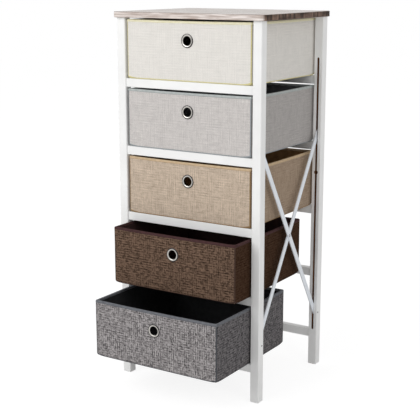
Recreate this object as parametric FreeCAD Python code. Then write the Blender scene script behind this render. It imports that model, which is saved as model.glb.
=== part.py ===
import FreeCAD, Part
import math
import os

# Fabric drawer dresser: two white ladder frames joined by scissor braces, a wooden top and five fabric bins.
# Millimetres. Origin on the floor at the middle of the four legs, X to the right, Y to the rear, Z up.

# Fabric bins, which set the size of the whole tower
drawer_count = 5
drawer_width = 377.0
drawer_depth = 348.0
drawer_height = 154.0
fourth_drawer_pull = 73.0
fifth_drawer_pull = 160.0

# Bin walls, from the outside in: binding tape, cover, stiffening board, lining
binding_thickness = 0.6
cover_thickness = 1.0
panel_thickness = 3.0
lining_thickness = 0.8
panel_corner_gap = 1.0
panel_rim_gap = 2.5
corner_chamfer = 2.0
edge_binding_width = 4.2
rim_binding_width = 6.5

# Finger-hole eyelet on each bin's front
eyelet_drop = 51.0
eyelet_hole_diameter = 23.5
eyelet_barrel_wall = 1.0
eyelet_flange_diameter = 36.0
eyelet_flange_height = 2.2
eyelet_bore_lip = 1.0
eyelet_rear_diameter = 32.0
eyelet_rear_height = 1.2
eyelet_fabric_clearance = 0.2

# Room round each bin in the frame
drawer_side_gap = 5.5
drawer_seat_gap = 0.3
drawer_head_gap = 3.7
drawer_front_recess = 3.0
drawer_rear_gap = 7.0
floor_clearance = 80.0

# Legs
leg_side = 25.0
leg_edge_chamfer = 1.5
foot_chamfer = 1.5

# Rails that carry the bins
rail_height = 23.0
rail_depth = 18.0
rail_edge_chamfer = 1.2

# Stub tenons that join the rails to the legs, kept clear of the brace grooves
tenon_length = 8.0
tenon_height = 15.0
tenon_thickness = 8.0
tenon_groove_offset = 16.5
tenon_clearance = 0.1

# Keyhole grooves in the legs for the braces
groove_width = 6.0
groove_depth = 17.0
groove_below_pivot = 47.0
groove_top_drop = 112.0
undercut_width = 11.0
undercut_depth = 5.8
entry_hole_diameter = 11.4
entry_hole_drop = 111.0

# Scissor braces and their pins
brace_width = 15.0
brace_thickness = 2.5
brace_rise = 517.0
pivot_height = 155.0
pin_inset = 8.0
pin_diameter = 5.0
pin_clearance = 0.1
pivot_pin_length = 20.0
pivot_pin_recess = 0.4
slide_pin_side_clearance = 0.3
rivet_head_diameter = 9.0
rivet_head_height = 1.8
rivet_crown_share = 0.6

# Top board and the square pegs that seat it on the legs
board_thickness = 15.0
board_side_overhang = 10.0
board_front_overhang = 8.0
board_rear_overhang = 1.0
board_corner_radius = 14.0
board_edge_chamfer = 0.8
peg_side = 9.0
peg_leg_depth = 16.0
peg_board_depth = 9.0
peg_clearance = 0.1
peg_end_gap = 0.3

# Working values: how far cuts run past a face, how closely coordinates match, and how much
# a corner's chamfer shrinks for each step inwards, so that the layers of a wall stay parallel there
overrun = 1.0
match = 0.01
chamfer_shrink_share = 2 - math.sqrt(2)

# Sizes that follow from the ones above
drawer_wall = binding_thickness + cover_thickness + panel_thickness + lining_thickness
panel_face = binding_thickness + cover_thickness
panel_end = panel_face + panel_thickness + panel_corner_gap
opening_height = drawer_seat_gap + drawer_height + drawer_head_gap
tier_pitch = opening_height + rail_height
leg_height = floor_clearance + drawer_count * tier_pitch
opening_width = drawer_width + 2 * drawer_side_gap
frame_width = opening_width + 2 * leg_side
frame_depth = drawer_depth + drawer_front_recess + drawer_rear_gap
leg_x = frame_width / 2 - leg_side / 2
leg_y = frame_depth / 2 - leg_side / 2
groove_face_y = frame_depth / 2 - leg_side
pin_y = groove_face_y + pin_inset
slide_height = pivot_height + brace_rise
crossing_height = pivot_height + brace_rise / 2
eyelet_height = drawer_height - eyelet_drop
barrel_diameter = eyelet_hole_diameter + 2 * eyelet_barrel_wall

axis_x = FreeCAD.Vector(1, 0, 0)
axis_y = FreeCAD.Vector(0, 1, 0)
axis_z = FreeCAD.Vector(0, 0, 1)
origin = FreeCAD.Vector(0, 0, 0)


def block(x_low, x_high, y_low, y_high, z_low, z_high):
    """A box between two corners."""
    corner = FreeCAD.Vector(x_low, y_low, z_low)
    return Part.makeBox(x_high - x_low, y_high - y_low, z_high - z_low, corner)


def rod(start, direction, diameter, length):
    """A round bar from a point along an axis."""
    return Part.makeCylinder(diameter / 2, length, start, direction)


def edges_along(shape, axis):
    """The straight edges that run along one axis."""
    found = []
    for edge in shape.Edges:
        span = edge.Vertexes[-1].Point - edge.Vertexes[0].Point
        if (span - axis * span.dot(axis)).Length < match:
            found.append(edge)
    return found


def edges_at_height(shape, height):
    """The edges that lie flat at one height."""
    found = []
    for edge in shape.Edges:
        if abs(edge.BoundBox.ZMin - height) < match and abs(edge.BoundBox.ZMax - height) < match:
            found.append(edge)
    return found


def tier_bottom(number):
    """Height of the rail top that carries a drawer, counted from the top of the tower."""
    return leg_height - opening_height - (number - 1) * tier_pitch


# Tower frame

def grooved_leg():
    """The front right leg, with its keyhole groove, pin hole, mortises and peg hole."""
    x_inner = frame_width / 2 - leg_side
    x_outer = frame_width / 2
    y_front = -frame_depth / 2
    y_back = -groove_face_y
    leg = block(x_inner, x_outer, y_front, y_back, 0, leg_height)
    leg = leg.makeChamfer(leg_edge_chamfer, edges_along(leg, axis_z))
    leg = leg.makeChamfer(foot_chamfer, edges_at_height(leg, 0))

    groove_low = pivot_height - groove_below_pivot
    groove_high = leg_height - groove_top_drop
    groove_floor = y_back - groove_depth
    leg = leg.cut(round_ended_slot(groove_width, groove_low, groove_high, groove_floor, y_back + overrun))
    undercut_y = y_back - pin_inset
    undercut_low = undercut_y - undercut_depth / 2
    undercut_high = undercut_y + undercut_depth / 2
    leg = leg.cut(round_ended_slot(undercut_width, groove_low, groove_high, undercut_low, undercut_high))
    entry_bottom = FreeCAD.Vector(leg_x, undercut_y, slide_height - entry_hole_drop)
    leg = leg.cut(rod(entry_bottom, axis_y, entry_hole_diameter, pin_inset + overrun))

    pin_hole = pivot_pin(pin_diameter + 2 * pin_clearance, overrun, overrun)
    leg = leg.cut(pin_hole)
    for number in range(1, drawer_count + 1):
        leg = leg.cut(rail_tenon(number, tenon_clearance))
    return leg.cut(board_peg(peg_clearance, peg_end_gap))


def round_ended_slot(width, z_low, z_high, y_low, y_high):
    """An upright slot in the right-hand legs' middle plane, cut by a round tool that stops at two heights."""
    radius = width / 2
    low_left = FreeCAD.Vector(leg_x - radius, y_low, z_low)
    low_right = FreeCAD.Vector(leg_x + radius, y_low, z_low)
    high_left = FreeCAD.Vector(leg_x - radius, y_low, z_high)
    high_right = FreeCAD.Vector(leg_x + radius, y_low, z_high)
    outline = Part.Wire([
        Part.Arc(low_left, FreeCAD.Vector(leg_x, y_low, z_low - radius), low_right).toShape(),
        Part.LineSegment(low_right, high_right).toShape(),
        Part.Arc(high_right, FreeCAD.Vector(leg_x, y_low, z_high + radius), high_left).toShape(),
        Part.LineSegment(high_left, low_left).toShape(),
    ])
    return Part.Face(outline).extrude(axis_y * (y_high - y_low))


def rail_tenon(number, clearance):
    """The stub on the right end of a front rail, or with a clearance its mortise in the leg."""
    x_shoulder = opening_width / 2
    y_middle = -groove_face_y - tenon_groove_offset
    z_middle = tier_bottom(number) - rail_height / 2
    y_half = tenon_thickness / 2 + clearance
    z_half = tenon_height / 2 + clearance
    return block(
        x_shoulder, x_shoulder + tenon_length + clearance, y_middle - y_half, y_middle + y_half,
        z_middle - z_half, z_middle + z_half,
    )


def rail(number):
    """The front rail under a drawer, between the front legs, with a stub tenon at each end."""
    y_middle = -leg_y
    top = tier_bottom(number)
    bar = block(
        -opening_width / 2, opening_width / 2, y_middle - rail_depth / 2, y_middle + rail_depth / 2,
        top - rail_height, top,
    )
    bar = bar.makeChamfer(rail_edge_chamfer, edges_along(bar, axis_x))
    tenon = rail_tenon(number, 0)
    return bar.fuse(tenon).fuse(mirrored_left(tenon))


def board_peg(clearance, end_gap):
    """One peg from the top of the front right leg up into the board, or with a clearance its hole."""
    half = peg_side / 2 + clearance
    low = leg_height - peg_leg_depth - end_gap
    high = leg_height + peg_board_depth + end_gap
    return block(leg_x - half, leg_x + half, -leg_y - half, -leg_y + half, low, high)


def top_board():
    """The wooden top, with round corners and four blind holes for its pegs."""
    x_half = frame_width / 2 + board_side_overhang
    y_front = -frame_depth / 2 - board_front_overhang
    y_rear = frame_depth / 2 + board_rear_overhang
    board = block(-x_half, x_half, y_front, y_rear, leg_height, leg_height + board_thickness)
    board = board.makeFillet(board_corner_radius, edges_along(board, axis_z))
    rims = edges_at_height(board, leg_height) + edges_at_height(board, leg_height + board_thickness)
    board = board.makeChamfer(board_edge_chamfer, rims)
    for hole in at_four_legs(board_peg(peg_clearance, peg_end_gap)):
        board = board.cut(hole)
    return board


def mirrored_left(shape):
    """The same piece on the left side."""
    return shape.mirror(origin, axis_x)


def mirrored_rear(shape):
    """The same piece on the rear ladder."""
    return shape.mirror(origin, axis_y)


def at_four_legs(shape):
    """A piece of the front right leg, repeated at all four legs."""
    front = [shape, mirrored_left(shape)]
    return front + [mirrored_rear(piece) for piece in front]


# Scissor braces

def brace(x_face, rises_to_rear):
    """One flat bar from its low pivot to its high slide pin, in the right-hand legs' middle plane."""
    radius = brace_width / 2
    span = 2 * pin_y
    length = math.hypot(span, brace_rise)
    low = FreeCAD.Vector(x_face, 0, 0)
    along = axis_z * length
    across = axis_y * radius
    outline = Part.Wire([
        Part.Arc(low - across, low - axis_z * radius, low + across).toShape(),
        Part.LineSegment(low + across, low + across + along).toShape(),
        Part.Arc(low + across + along, low + along + axis_z * radius, low - across + along).toShape(),
        Part.LineSegment(low - across + along, low - across).toShape(),
    ])
    bar = Part.Face(outline).extrude(axis_x * brace_thickness)
    for place in (low, low + along / 2, low + along):
        bar = bar.cut(rod(place - axis_x * overrun, axis_x, pin_diameter + 2 * pin_clearance,
                          brace_thickness + 2 * overrun))
    lean = math.degrees(math.atan2(span, brace_rise))
    bar.rotate(low, axis_x, -lean if rises_to_rear else lean)
    bar.translate(FreeCAD.Vector(0, -pin_y if rises_to_rear else pin_y, pivot_height))
    return bar


def pivot_pin(diameter, past_outside, past_inside):
    """The pin through the front right leg that holds a brace's low end."""
    outside = frame_width / 2 + past_outside
    start = FreeCAD.Vector(outside, -pin_y, pivot_height)
    return rod(start, -axis_x, diameter, pivot_pin_length + past_outside + past_inside)


def slide_pin():
    """The pin at a brace's high end, which runs in the undercut of the front right leg's groove."""
    length = undercut_width - 2 * slide_pin_side_clearance
    start = FreeCAD.Vector(leg_x - length / 2, -pin_y, slide_height)
    return rod(start, axis_x, pin_diameter, length)


def crossing_rivet():
    """The rivet at the middle of the right-hand braces, with two bevelled heads."""
    shank = pin_diameter / 2
    head = rivet_head_diameter / 2
    crown = head * rivet_crown_share
    tip = brace_thickness + rivet_head_height
    outer_half = [(brace_thickness, shank), (brace_thickness, head), (tip, crown), (tip, 0)]
    inner_half = [(-distance, radius) for distance, radius in reversed(outer_half)]
    points = [FreeCAD.Vector(leg_x + distance, 0, radius) for distance, radius in inner_half + outer_half]
    profile = Part.makePolygon(points + points[:1])
    rivet = Part.Face(profile).revolve(origin, axis_x, 360)
    rivet.translate(axis_z * crossing_height)
    return rivet


# Fabric bins, each drawn with its middle over the origin and its bottom at zero

def bin_body(inset, top):
    """A bin-shaped block, set in from the bin's outside on its four sides and its bottom."""
    x_half = drawer_width / 2 - inset
    y_half = drawer_depth / 2 - inset
    body = block(-x_half, x_half, -y_half, y_half, inset, top)
    chamfer = corner_chamfer - inset * chamfer_shrink_share
    if chamfer > match:
        body = body.makeChamfer(chamfer, edges_along(body, axis_z))
    return body


def finger_hole():
    """The round cut through a bin's front wall for its eyelet."""
    start = FreeCAD.Vector(0, -drawer_depth / 2 - overrun, eyelet_height)
    return rod(start, axis_y, barrel_diameter + 2 * eyelet_fabric_clearance, drawer_wall + 2 * overrun)


def fabric_shell(outer_inset, thickness):
    """One layer of cloth on the bin's walls and bottom, open at the top."""
    outside = bin_body(outer_inset, drawer_height - binding_thickness)
    inside = bin_body(outer_inset + thickness, drawer_height + overrun)
    return outside.cut(inside).cut(finger_hole())


def upright_panel(x_low, x_high, y_low, y_high):
    """A stiffening board that stands in one wall and ends a little under the bound rim."""
    top = drawer_height - binding_thickness - panel_rim_gap
    return block(x_low, x_high, y_low, y_high, panel_end, top)


def front_panel():
    """The front wall's board, with the finger hole."""
    x_half = drawer_width / 2 - panel_end
    y_face = -drawer_depth / 2 + panel_face
    return upright_panel(-x_half, x_half, y_face, y_face + panel_thickness).cut(finger_hole())


def wall_panels():
    """The boards of the two sides and the rear wall."""
    x_half = drawer_width / 2 - panel_end
    y_half = drawer_depth / 2 - panel_end
    x_face = drawer_width / 2 - panel_face
    y_face = drawer_depth / 2 - panel_face
    right = upright_panel(x_face - panel_thickness, x_face, -y_half, y_half)
    rear = upright_panel(-x_half, x_half, y_face - panel_thickness, y_face)
    return Part.makeCompound([mirrored_left(right), right, rear])


def base_panel():
    """The board in the bottom of the bin."""
    x_half = drawer_width / 2 - panel_face - panel_corner_gap
    y_half = drawer_depth / 2 - panel_face - panel_corner_gap
    return block(-x_half, x_half, -y_half, y_half, panel_face, panel_face + panel_thickness)


def binding():
    """Tape folded over the rim and round the upright and bottom edges."""
    rim_bottom = drawer_height - rim_binding_width
    x_outside = drawer_width / 2 + overrun
    y_outside = drawer_depth / 2 + overrun
    above = drawer_height + overrun

    rim = bin_body(0, drawer_height).cut(bin_body(drawer_wall + binding_thickness, above))
    rim = rim.cut(block(-x_outside, x_outside, -y_outside, y_outside, -overrun, rim_bottom))
    wall = bin_body(binding_thickness, drawer_height - binding_thickness).cut(bin_body(drawer_wall, above))
    rim = rim.cut(wall)

    edges = bin_body(0, rim_bottom).cut(bin_body(binding_thickness, above))
    x_half = drawer_width / 2 - edge_binding_width
    y_half = drawer_depth / 2 - edge_binding_width
    side_window = block(-x_outside, x_outside, -y_half, y_half, edge_binding_width, above)
    front_window = block(-x_half, x_half, -y_outside, y_outside, edge_binding_width, above)
    bottom_window = block(-x_half, x_half, -y_half, y_half, -overrun, edge_binding_width)
    edges = edges.cut(side_window).cut(front_window).cut(bottom_window)
    return rim.fuse(edges).removeSplitter()


def eyelet():
    """The metal finger ring: a crowned flange, a barrel through the wall and a spread rear edge."""
    bore = eyelet_hole_diameter / 2
    barrel = barrel_diameter / 2
    flange = eyelet_flange_diameter / 2
    crown = (bore + flange) / 2
    face = -drawer_depth / 2 + binding_thickness
    wall_back = -drawer_depth / 2 + drawer_wall
    corners = [
        (bore, face - eyelet_bore_lip),
        (crown, face - eyelet_flange_height),
        (flange, face),
        (barrel, face),
        (barrel, wall_back),
        (eyelet_rear_diameter / 2, wall_back),
        (bore, wall_back + eyelet_rear_height),
    ]
    points = [FreeCAD.Vector(radius, y, 0) for radius, y in corners]
    profile = Part.makePolygon(points + points[:1])
    ring = Part.Face(profile).revolve(origin, axis_y, 360)
    ring.translate(axis_z * eyelet_height)
    return ring


def drawer_pieces():
    """The separate pieces of one bin."""
    return {
        "cover": fabric_shell(binding_thickness, cover_thickness),
        "lining": fabric_shell(panel_face + panel_thickness, lining_thickness),
        "front_board": front_panel(),
        "wall_boards": wall_panels(),
        "base_board": base_panel(),
        "binding": binding(),
        "eyelet": eyelet(),
    }


def drawer_place(number):
    """Where a bin stands: on its rails, pulled forward by its own amount."""
    pulls = {4: fourth_drawer_pull, 5: fifth_drawer_pull}
    y_closed = -frame_depth / 2 + drawer_front_recess + drawer_depth / 2
    height = tier_bottom(number) + drawer_seat_gap
    return FreeCAD.Vector(0, y_closed - pulls.get(number, 0), height)


# The whole assembly, one file for each named piece

pieces = {"top_board": top_board()}
leg_front_right, leg_front_left, leg_rear_right, leg_rear_left = at_four_legs(grooved_leg())
pieces["leg_front_right"] = leg_front_right
pieces["leg_front_left"] = leg_front_left
pieces["leg_rear_right"] = leg_rear_right
pieces["leg_rear_left"] = leg_rear_left

for tier in range(1, drawer_count + 1):
    front_rail = rail(tier)
    pieces[f"front_rail_{tier}"] = front_rail
    pieces[f"rear_rail_{tier}"] = mirrored_rear(front_rail)
pieces["top_pegs"] = Part.makeCompound(at_four_legs(board_peg(0, 0)))

inner_brace = brace(leg_x - brace_thickness, True)
outer_brace = brace(leg_x, False)
pieces["brace_right_inner"] = inner_brace
pieces["brace_right_outer"] = outer_brace
pieces["brace_left_inner"] = mirrored_left(inner_brace)
pieces["brace_left_outer"] = mirrored_left(outer_brace)
pivot_pins = at_four_legs(pivot_pin(pin_diameter, -pivot_pin_recess, 0))
pieces["brace_pivot_pins"] = Part.makeCompound(pivot_pins)
pieces["brace_slide_pins"] = Part.makeCompound(at_four_legs(slide_pin()))
rivet_right = crossing_rivet()
pieces["brace_rivets"] = Part.makeCompound([rivet_right, mirrored_left(rivet_right)])

for tier in range(1, drawer_count + 1):
    for part_name, piece in drawer_pieces().items():
        pieces[f"drawer_{tier}_{part_name}"] = piece.translated(drawer_place(tier))

os.makedirs("parts", exist_ok=True)
for name, piece in pieces.items():
    piece.exportStep(f"parts/{name}.step")
total_height = leg_height + board_thickness
print(len(pieces), "pieces, tower", frame_width, "wide,", frame_depth, "deep,", total_height, "high")
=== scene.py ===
# %% [markdown]
# # A fabric drawer dresser
# The dresser is a white wooden tower with five cloth bins in it. Its rigid pieces come from the CAD
# model, which is loaded here as a fixed frame. Blender adds what CAD solids can't show: cloth that
# bows a little between its edges, sewn tape, thread, polished rings, paint and wood grain. Every new
# piece is placed from the frame's own boxes, so nothing has to be fitted by eye. Lengths are in
# metres, as in the frame, and mm stands for one millimetre.

import math
from collections import namedtuple

import bmesh
import bpy
from mathutils import Color, Matrix, Vector, noise


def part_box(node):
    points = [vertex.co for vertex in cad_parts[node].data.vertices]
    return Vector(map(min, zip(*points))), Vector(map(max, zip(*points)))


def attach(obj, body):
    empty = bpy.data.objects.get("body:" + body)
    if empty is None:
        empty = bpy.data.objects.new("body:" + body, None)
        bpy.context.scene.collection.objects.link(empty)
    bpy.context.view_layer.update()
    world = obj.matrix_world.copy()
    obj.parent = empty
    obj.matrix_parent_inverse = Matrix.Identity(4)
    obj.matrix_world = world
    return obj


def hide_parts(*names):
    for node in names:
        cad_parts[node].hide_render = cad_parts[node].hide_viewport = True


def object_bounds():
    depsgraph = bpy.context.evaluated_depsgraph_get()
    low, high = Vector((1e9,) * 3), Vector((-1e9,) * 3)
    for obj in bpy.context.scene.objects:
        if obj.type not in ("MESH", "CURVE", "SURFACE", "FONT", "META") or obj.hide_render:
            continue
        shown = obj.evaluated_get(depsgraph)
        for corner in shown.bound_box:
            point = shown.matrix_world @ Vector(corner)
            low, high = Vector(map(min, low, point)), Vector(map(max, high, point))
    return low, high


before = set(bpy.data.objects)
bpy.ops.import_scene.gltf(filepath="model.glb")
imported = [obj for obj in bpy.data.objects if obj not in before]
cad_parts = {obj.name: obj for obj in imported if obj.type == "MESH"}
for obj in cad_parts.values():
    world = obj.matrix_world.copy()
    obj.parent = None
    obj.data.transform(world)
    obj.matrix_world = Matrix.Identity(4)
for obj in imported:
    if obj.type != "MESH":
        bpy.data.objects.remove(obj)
cad_low, cad_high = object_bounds()
scene = bpy.context.scene
mm = 0.001


def in_mm(lengths):
    """Lengths in millimetres, rounded for printing."""
    return [round(length / mm, 1) for length in lengths]


print("frame of", len(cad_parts), "nodes,", in_mm(cad_high - cad_low), "mm")

# %% [markdown]
# ## Camera
# The photograph was taken from the front right, a little above the top board. A camera could be turned
# by hand until its picture looks right, but it would never quite match. This one was worked out from
# points of the dresser that were measured in the photograph, which gives its place, its direction and
# its lens. The lens is written in pixels of a 420 pixel frame, as it was measured, and turned into
# millimetres on Blender's usual sensor.

# %% Camera
frame_pixels = 420
focal_pixels = 1037.0
sensor_width = 36.0
camera_place = Vector((1.4635, -2.3868, 1.0912))
camera_azimuth = math.radians(32.25)
camera_pitch = math.radians(12.73)

camera_data = bpy.data.cameras.new("camera")
camera_data.sensor_width = sensor_width
camera_data.lens = focal_pixels / frame_pixels * sensor_width
camera = bpy.data.objects.new("camera", camera_data)
camera.location = camera_place
camera.rotation_euler = (math.pi / 2 - camera_pitch, 0, camera_azimuth)
scene.collection.objects.link(camera)
scene.camera = camera
print("camera with a lens of", round(camera_data.lens, 1), "mm")

# %% [markdown]
# ## Nodes in one line
# Materials and Geometry Nodes are both trees of nodes. They could be drawn by hand in an editor, but a
# script keeps every value in sight. One small helper adds a node, sets what it should do, and either
# links an input to another node's output or gives it a value. Colours are written as they look on
# screen and turned into the linear values that shaders work in.

# %% Adding nodes
def set_input(tree, socket, value):
    """Links an input to another node's output, or gives it a value."""
    if isinstance(value, bpy.types.NodeSocket):
        tree.links.new(value, socket)
    else:
        socket.default_value = value


def add_node(tree, kind, inputs=None, **settings):
    """Adds a node, with its settings, and with a value or a link for each input that is given."""
    made = tree.nodes.new(kind)
    for name, value in settings.items():
        setattr(made, name, value)
    for key, value in (inputs or {}).items():
        set_input(tree, made.inputs[key], value)
    return made


def colour(code):
    """A screen colour such as E5E2DB as linear red, green, blue and alpha."""
    on_screen = Color([part / 255 for part in bytes.fromhex(code)])
    return (*on_screen.from_srgb_to_scene_linear(), 1.0)


print("half grey on screen is", round(colour("808080")[0], 3), "of white in linear light")

# %% [markdown]
# ## Studio light
# A product photograph on white has big soft lamps and nothing else. A picture of a studio could light
# the scene, but two lamps and an even sky have few numbers and are easy to change. The world gives
# light from all round, a large lamp from the front left makes the fronts a little brighter than the
# right side, and a weaker one from the right opens the shadows beside the legs. The camera and mirrors
# see the world as plain white, which is brighter than the light that it sends.

# %% World
ambient_strength = 0.56
white = (1.0, 1.0, 1.0, 1.0)


def calculate(tree, operation, first, second=0.0):
    """One sum of two values."""
    return add_node(tree, "ShaderNodeMath", {0: first, 1: second}, operation=operation).outputs[0]


def remap(tree, value, low, high, new_low, new_high):
    """A value moved from one range to another and kept inside it."""
    inputs = {0: value, 1: low, 2: high, 3: new_low, 4: new_high}
    return add_node(tree, "ShaderNodeMapRange", inputs).outputs[0]


def seen_directly(tree):
    """1 for rays from the camera, from mirrors and through glass, and 0 for rays that carry light."""
    path = add_node(tree, "ShaderNodeLightPath").outputs
    mirror = calculate(tree, "MAXIMUM", path["Is Glossy Ray"], path["Is Transmission Ray"])
    return calculate(tree, "MAXIMUM", path["Is Camera Ray"], mirror)


world = bpy.data.worlds.new("studio")
world.use_nodes = True
scene.world = world
sky = world.node_tree
background = sky.nodes["Background"]
set_input(sky, background.inputs["Strength"], remap(sky, seen_directly(sky), 0, 1, ambient_strength, 1.0))
set_input(sky, background.inputs["Color"], white)
scene.view_settings.view_transform = "Standard"
print("world that lights with", ambient_strength, "of the white that is seen")

# %% Lamps
key_power = 58.0
key_place = Vector((-1.3, -3.0, 2.3))
key_size = 2.4
fill_power = 11.5
fill_place = Vector((2.5, -1.1, 1.6))
fill_size = 1.2
light_target = Vector((0, -0.1, 0.5))


def area_lamp(name, place, size, power):
    """A square soft lamp that faces the dresser."""
    data = bpy.data.lights.new(name, "AREA")
    data.size = size
    data.energy = power
    lamp = bpy.data.objects.new(name, data)
    lamp.location = place
    lamp.rotation_euler = (light_target - place).to_track_quat("-Z", "Y").to_euler()
    scene.collection.objects.link(lamp)


area_lamp("key", key_place, key_size, key_power)
area_lamp("fill", fill_place, fill_size, fill_power)
print(len(bpy.data.lights), "lamps of", key_power, "and", fill_power, "watts")

# %% [markdown]
# ## Floor
# The dresser stands on white ground that shows only a faint shadow. A floor of white paint would turn
# grey away from the lamps. So most of the white is a glow, which only the camera and mirrors see, and
# a thin share of paint takes the shadow. The rays that carry light meet a paler paint without glow,
# so that the floor throws light up at the dresser as a real one does.

# %% Floor paint
floor_glow = 0.83
floor_bounce = (0.8, 0.8, 0.8, 1.0)
floor_shown = (0.3, 0.3, 0.3, 1.0)


def mix_colour(tree, share, first, second):
    """A colour between two others."""
    made = add_node(tree, "ShaderNodeMix", {0: share, 6: first, 7: second}, data_type="RGBA")
    return made.outputs[2]


def new_material(name):
    """An empty material, its tree and its surface shader."""
    material = bpy.data.materials.new(name)
    material.use_nodes = True
    tree = material.node_tree
    return material, tree, tree.nodes["Principled BSDF"]


def set_surface(tree, shader, **sockets):
    """Sets or links sockets of a surface shader, named with underscores for spaces."""
    for name, value in sockets.items():
        set_input(tree, shader.inputs[name.replace("_", " ")], value)


floor_paint, floor_tree, floor_shader = new_material("floor_white")
floor_seen = seen_directly(floor_tree)
floor_light = calculate(floor_tree, "MULTIPLY", floor_seen, floor_glow)
floor_colour = mix_colour(floor_tree, floor_seen, floor_bounce, floor_shown)
set_surface(floor_tree, floor_shader, Base_Color=floor_colour, Roughness=1.0, Specular_IOR_Level=0.0)
set_surface(floor_tree, floor_shader, Emission_Color=white, Emission_Strength=floor_light)
print("floor paint of", len(floor_tree.nodes), "nodes")

# %% Floor
floor_half = 8.0
floor_corners = [(x * floor_half, y * floor_half, 0) for x, y in [(-1, -1), (1, -1), (1, 1), (-1, 1)]]
floor_mesh = bpy.data.meshes.new("floor")
floor_mesh.from_pydata(floor_corners, [], [(0, 1, 2, 3)])
floor_mesh.materials.append(floor_paint)
floor = bpy.data.objects.new("floor", floor_mesh)
scene.collection.objects.link(floor)
print("floor", 2 * floor_half, "m wide")

# %% [markdown]
# ## Grooves in the legs
# The long grooves in the legs were cut after painting, so they show bare brown wood. The leg is one
# CAD solid and stays one, so its groove can't have a material of its own. Instead the leg's material
# finds the groove by place: near the leg's middle plane, and between the face that the groove is cut
# into and the groove's floor. The four legs are mirror images, so one test of distances from the
# dresser's middle fits them all.

# %% Where the grooves are
leg_low, leg_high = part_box("leg_front_right")
leg_middle_x = (leg_low.x + leg_high.x) / 2
groove_face_y = -leg_high.y
groove_lip = 0.4 * mm
groove_half_width = 5.9 * mm
groove_depth = 17.2 * mm


def axes(tree, vector):
    """The three parts of a vector."""
    return add_node(tree, "ShaderNodeSeparateXYZ", {0: vector}).outputs


def groove_mask(tree, place):
    """1 on the walls of the legs' grooves and 0 on their painted faces."""
    x, y, _ = axes(tree, place)
    from_middle = calculate(tree, "SUBTRACT", calculate(tree, "ABSOLUTE", x), leg_middle_x)
    in_width = calculate(tree, "LESS_THAN", calculate(tree, "ABSOLUTE", from_middle), groove_half_width)
    depth = calculate(tree, "ABSOLUTE", y)
    behind_face = calculate(tree, "GREATER_THAN", depth, groove_face_y + groove_lip)
    before_floor = calculate(tree, "LESS_THAN", depth, groove_face_y + groove_depth)
    return calculate(tree, "MULTIPLY", in_width, calculate(tree, "MULTIPLY", behind_face, before_floor))


print("bare wood within", in_mm([groove_half_width, groove_depth]), "mm of a leg's middle and grooved face")

# %% [markdown]
# ## Noise
# Paint, wood, steel and cloth all wander a little between two tones. A photograph of each finish could
# be laid on the pieces, but it repeats and fits one size only. Noise is worked out at every point
# instead, from the point's place on its own piece, so it never repeats and moves with the piece.
# Stretched along one axis it turns into grain. Most of its values lie in a narrow range, which is
# used as the whole way from one tone to the other.

# %% Noise and bumps
noise_range = (0.3, 0.7)


def object_place(tree):
    """A point's place on its own piece."""
    return add_node(tree, "ShaderNodeTexCoord").outputs["Object"]


def even(scale):
    """The same scale on all three axes."""
    return (scale, scale, scale)


def stretched_noise(tree, vector, scale, detail=3.0):
    """Noise whose grains are as short on each axis as the scale says."""
    mapping = add_node(tree, "ShaderNodeMapping", {"Vector": vector, "Scale": scale})
    inputs = {"Vector": mapping.outputs[0], "Scale": 1.0, "Detail": detail}
    return add_node(tree, "ShaderNodeTexNoise", inputs).outputs["Fac"]


def wander(tree, cloud, first=0.0, last=1.0):
    """Noise as a value that wanders between a first and a last one."""
    return remap(tree, cloud, *noise_range, first, last)


def add_bump(tree, shader, height, strength, distance):
    """Raises the surface's look by a height value."""
    inputs = {"Strength": strength, "Distance": distance, "Height": height}
    set_input(tree, shader.inputs["Normal"], add_node(tree, "ShaderNodeBump", inputs).outputs[0])


print("noise is used from", noise_range[0], "to", noise_range[1])

# %% [markdown]
# ## Painted wood
# The legs and rails are wood under white satin paint. Up close the paint follows the grain in faint
# lines along each bar, and its gloss isn't even. The lines could be modelled, but they are only a
# fraction of a millimetre high, so they are a bump, which changes how light falls on a flat face. One
# function makes the paint of legs and rails, because they differ only in the way of the grain and in
# the grooves.

# %% Paint for legs and rails
x_axis = 0
z_axis = 2
paint_dim = colour("EFEFEE")
paint_bright = colour("F6F6F5")
paint_cloud_scale = 14.0
paint_roughness = (0.36, 0.48)
paint_bump = 0.12
paint_bump_height = 0.3 * mm
bare_wood_dark = colour("5C341C")
bare_wood_light = colour("96633F")
bare_wood_pores = (0.35, 0.65)
bare_wood_roughness = 0.8
grain_length_scale = 9.0
grain_width_scale = 420.0


def painted_wood(name, grain_axis, grooved):
    """White satin paint with a faint grain along one axis, and bare wood in the grooves."""
    material, tree, shader = new_material(name)
    place = object_place(tree)
    scale = [grain_width_scale] * 3
    scale[grain_axis] = grain_length_scale
    grain = stretched_noise(tree, place, scale)
    cloud = stretched_noise(tree, place, even(paint_cloud_scale), detail=2.0)
    tone = mix_colour(tree, wander(tree, cloud), paint_dim, paint_bright)
    roughness = wander(tree, cloud, *paint_roughness)
    if grooved:
        bare = groove_mask(tree, place)
        pores = remap(tree, grain, *bare_wood_pores, 0, 1)
        tone = mix_colour(tree, bare, tone, mix_colour(tree, pores, bare_wood_dark, bare_wood_light))
        bare_roughness = calculate(tree, "MULTIPLY", bare, bare_wood_roughness)
        roughness = calculate(tree, "MAXIMUM", roughness, bare_roughness)
    set_surface(tree, shader, Base_Color=tone, Roughness=roughness)
    add_bump(tree, shader, grain, paint_bump, paint_bump_height)
    return material


leg_paint = painted_wood("leg_paint", z_axis, grooved=True)
rail_paint = painted_wood("rail_paint", x_axis, grooved=False)
print("leg paint of", len(leg_paint.node_tree.nodes), "nodes")


# %% Paint the legs and rails
def dress(nodes, material):
    """Gives CAD nodes a material."""
    for name in nodes:
        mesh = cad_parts[name].data
        mesh.materials.clear()
        mesh.materials.append(material)


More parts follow.
